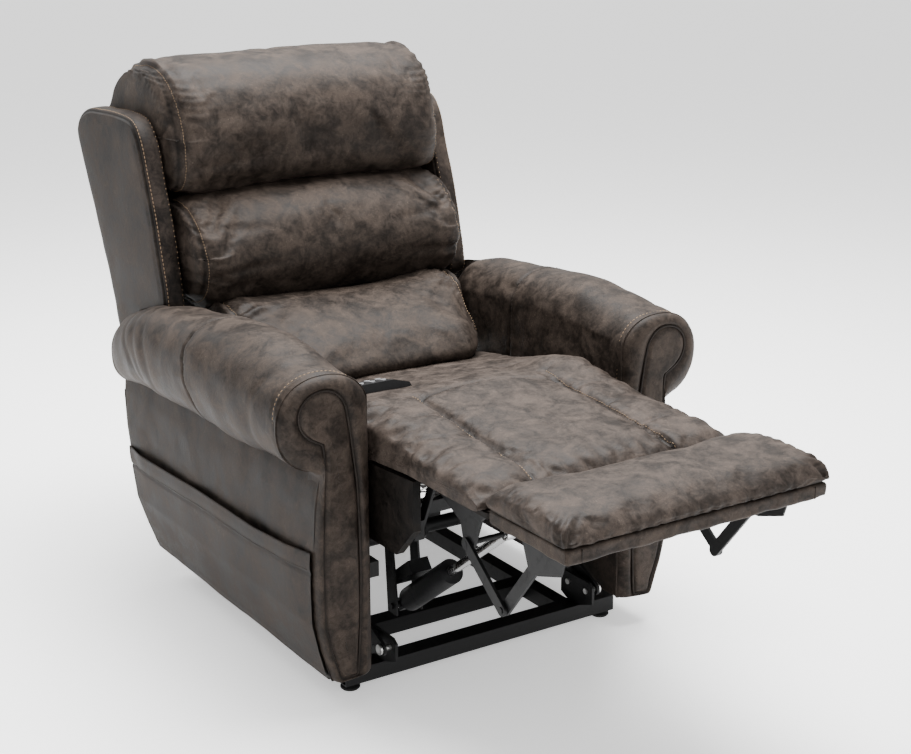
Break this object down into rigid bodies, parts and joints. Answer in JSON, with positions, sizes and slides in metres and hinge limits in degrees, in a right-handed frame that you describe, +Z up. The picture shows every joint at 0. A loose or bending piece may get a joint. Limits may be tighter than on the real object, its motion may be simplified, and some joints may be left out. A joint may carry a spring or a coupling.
{
  "type": "lift recliner chair",
  "caption": "Powered lift recliner with rolled arms, wings, stacked back bolsters, folding footrest and a lifting base.",
  "frame": {"origin": "on the floor under the middle of the chair's overall length and width, in the reclined pose with the footrest out", "axes": "+Z up, -Y the way the sitter faces, +X to the sitter's left"},
  "size_m": [0.928, 1.7036, 1.097],
  "materials": {
    "leather": "mottled distressed upholstery, satin",
    "dark_leather": "upholstery cover on boards, satin",
    "frame_steel": "satin black powder coat",
    "foot_plastic": "matt black",
    "bolt_steel": "zinc plated",
    "rod_steel": "ground",
    "spring_steel": "drawn wire",
    "case_plastic": "fine texture",
    "plywood": "plain plywood",
    "button_silver": "satin silver"
  },
  "bodies": {
    "base": {"base_tubes": "frame_steel", "floor_rails": "frame_steel", "glide_feet": "foot_plastic", "lift_brackets": "frame_steel", "lift_pivot_bolts": "bolt_steel", "lift_motor_clevis": "frame_steel"},
    "lift_arms": {"lift_arms": "frame_steel", "torsion_tube": "frame_steel"},
    "guide_links": {"guide_links": "frame_steel"},
    "chair": {"chassis_rails": "frame_steel", "chassis_cross_rails": "frame_steel", "glide_tracks": "foot_plastic", "control_box": "case_plastic", "arm_frames": "plywood", "arm_cover_left": "leather", "arm_cover_right": "leather", "arm_roll_left": "leather", "arm_roll_right": "leather", "arm_facings": "leather", "side_pocket_left": "leather", "side_pocket_right": "leather", "rear_panel": "dark_leather"},
    "lift_motor": {"lift_motor": "case_plastic"},
    "lift_rod": {"lift_rod": "rod_steel"},
    "seat": {"seat_rails": "frame_steel", "seat_cross_rails": "frame_steel", "seat_springs": "spring_steel", "seat_cushion": "leather", "seat_side_boards": "dark_leather", "handset": "case_plastic"},
    "back": {"back_brackets": "frame_steel", "back_lever": "frame_steel", "back_uprights": "plywood", "back_cross_rails": "plywood", "back_shell": "leather", "wing_left": "leather", "wing_right": "leather", "lumbar_bolster": "leather", "lower_bolster": "leather"},
    "headrest": {"head_bolster": "leather", "head_plate": "plywood"},
    "recline_motor": {"recline_motor": "case_plastic"},
    "recline_rod": {"recline_rod": "rod_steel"},
    "footrest_upper": {"chaise_board": "plywood", "chaise_brackets": "frame_steel", "drive_shaft": "frame_steel", "chaise_pad": "leather"},
    "footrest_lower": {"footrest_board": "dark_leather", "footrest_brackets": "frame_steel", "footrest_pad": "leather"},
    "leg_links_rear": {"leg_links_rear": "frame_steel"},
    "leg_links_front": {"leg_links_front": "frame_steel"},
    "footrest_motor": {"footrest_motor": "case_plastic"},
    "footrest_rod": {"footrest_rod": "rod_steel"},
    "button_1": {"button_1": "button_silver"},
    "button_2": {"button_2": "button_silver"},
    "button_3": {"button_3": "button_silver"},
    "button_4": {"button_4": "button_silver"},
    "button_5": {"button_5": "button_silver"},
    "button_6": {"button_6": "button_silver"}
  },
  "joints": [
    {"name": "lift", "type": "hinge", "parent": "base", "child": "lift_arms", "pos_m": [0, -0.189, 0.085], "axis": [1, 0, 0], "range_deg": [0, 46]},
    {"name": "chair_tilt", "type": "hinge", "parent": "lift_arms", "child": "chair", "pos_m": [0, 0.1373, 0.2139], "axis": [1, 0, 0], "range_deg": [-31.64, 0]},
    {"name": "guide_swing", "type": "hinge", "parent": "base", "child": "guide_links", "pos_m": [0, -0.249, 0.085], "axis": [1, 0, 0], "range_deg": [0, 49.3]},
    {"name": "lift_motor_swing", "type": "hinge", "parent": "base", "child": "lift_motor", "pos_m": [0, 0.351, 0.085], "axis": [1, 0, 0], "range_deg": [-11.02, 0]},
    {"name": "lift_rod_slide", "type": "slide", "parent": "lift_motor", "child": "lift_rod", "axis": [0, -0.9595, 0.2817], "range_m": [0, 0.1815]},
    {"name": "footrest", "type": "hinge", "parent": "seat", "child": "footrest_upper", "pos_m": [0, -0.414, 0.475], "axis": [1, 0, 0], "range_deg": [0, 88]},
    {"name": "seat_glide", "type": "slide", "parent": "chair", "child": "seat", "axis": [0, 1, 0], "range_m": [0, 0.1225]},
    {"name": "recline", "type": "hinge", "parent": "seat", "child": "back", "pos_m": [0, 0.271, 0.4], "axis": [1, 0, 0], "range_deg": [-20, 12]},
    {"name": "headrest_tilt", "type": "hinge", "parent": "back", "child": "headrest", "pos_m": [0, 0.471, 0.825], "axis": [1, 0, 0], "range_deg": [0, 20]},
    {"name": "recline_motor_swing", "type": "hinge", "parent": "seat", "child": "recline_motor", "pos_m": [0, -0.139, 0.285], "axis": [1, 0, 0], "range_deg": [-1.98, 3.24]},
    {"name": "recline_rod_slide", "type": "slide", "parent": "recline_motor", "child": "recline_rod", "axis": [0, 0.9977, 0.0683], "range_m": [-0.02902, 0.01781]},
    {"name": "footrest_retract", "type": "slide", "parent": "footrest_upper", "child": "footrest_lower", "axis": [0, 1, 0], "range_m": [0, 0.01234]},
    {"name": "leg_rear_swing", "type": "hinge", "parent": "footrest_upper", "child": "leg_links_rear", "pos_m": [0, -0.513, 0.387], "axis": [1, 0, 0], "range_deg": [0, 3.05]},
    {"name": "leg_front_swing", "type": "hinge", "parent": "leg_links_rear", "child": "leg_links_front", "pos_m": [0, -0.621, 0.305], "axis": [1, 0, 0], "range_deg": [-6.87, 0]},
    {"name": "footrest_motor_swing", "type": "hinge", "parent": "seat", "child": "footrest_motor", "pos_m": [0, -0.169, 0.125], "axis": [1, 0, 0], "range_deg": [-20.19, 0]},
    {"name": "footrest_rod_slide", "type": "slide", "parent": "footrest_motor", "child": "footrest_rod", "axis": [0, -0.7955, 0.6059], "range_m": [-0.13985, 0]},
    {"name": "button_1_press", "type": "slide", "parent": "seat", "child": "button_1", "axis": [0, -0.2147, -0.9767], "range_m": [0, 0.0012], "stiffness_N_per_m": 400},
    {"name": "button_2_press", "type": "slide", "parent": "seat", "child": "button_2", "axis": [0, -0.2147, -0.9767], "range_m": [0, 0.0012], "stiffness_N_per_m": 400},
    {"name": "button_3_press", "type": "slide", "parent": "seat", "child": "button_3", "axis": [0, -0.2147, -0.9767], "range_m": [0, 0.0012], "stiffness_N_per_m": 400},
    {"name": "button_4_press", "type": "slide", "parent": "seat", "child": "button_4", "axis": [0, -0.2147, -0.9767], "range_m": [0, 0.0012], "stiffness_N_per_m": 400},
    {"name": "button_5_press", "type": "slide", "parent": "seat", "child": "button_5", "axis": [0, -0.2147, -0.9767], "range_m": [0, 0.0012], "stiffness_N_per_m": 400},
    {"name": "button_6_press", "type": "slide", "parent": "seat", "child": "button_6", "axis": [0, -0.2147, -0.9767], "range_m": [0, 0.0012], "stiffness_N_per_m": 400}
  ],
  "couplings": [
    {"joint": "chair_tilt", "follows": "lift", "ratio": -0.6743},
    {"joint": "guide_swing", "follows": "lift", "ratio": 1.0507},
    {"joint": "lift_motor_swing", "follows": "lift", "ratio": -0.2348},
    {"joint": "lift_rod_slide", "follows": "lift", "m_per_rad": 0.22151},
    {"joint": "seat_glide", "follows": "footrest", "m_per_rad": 0.078131},
    {"joint": "recline_motor_swing", "follows": "recline", "ratio": -0.15697},
    {"joint": "recline_rod_slide", "follows": "recline", "m_per_rad": 0.080287},
    {"joint": "footrest_retract", "follows": "footrest", "m_per_rad": 0.007813},
    {"joint": "leg_rear_swing", "follows": "footrest", "ratio": 0.033935},
    {"joint": "leg_front_swing", "follows": "footrest", "ratio": -0.076562},
    {"joint": "footrest_motor_swing", "follows": "footrest", "ratio": -0.22493},
    {"joint": "footrest_rod_slide", "follows": "footrest", "m_per_rad": -0.089206}
  ]
}
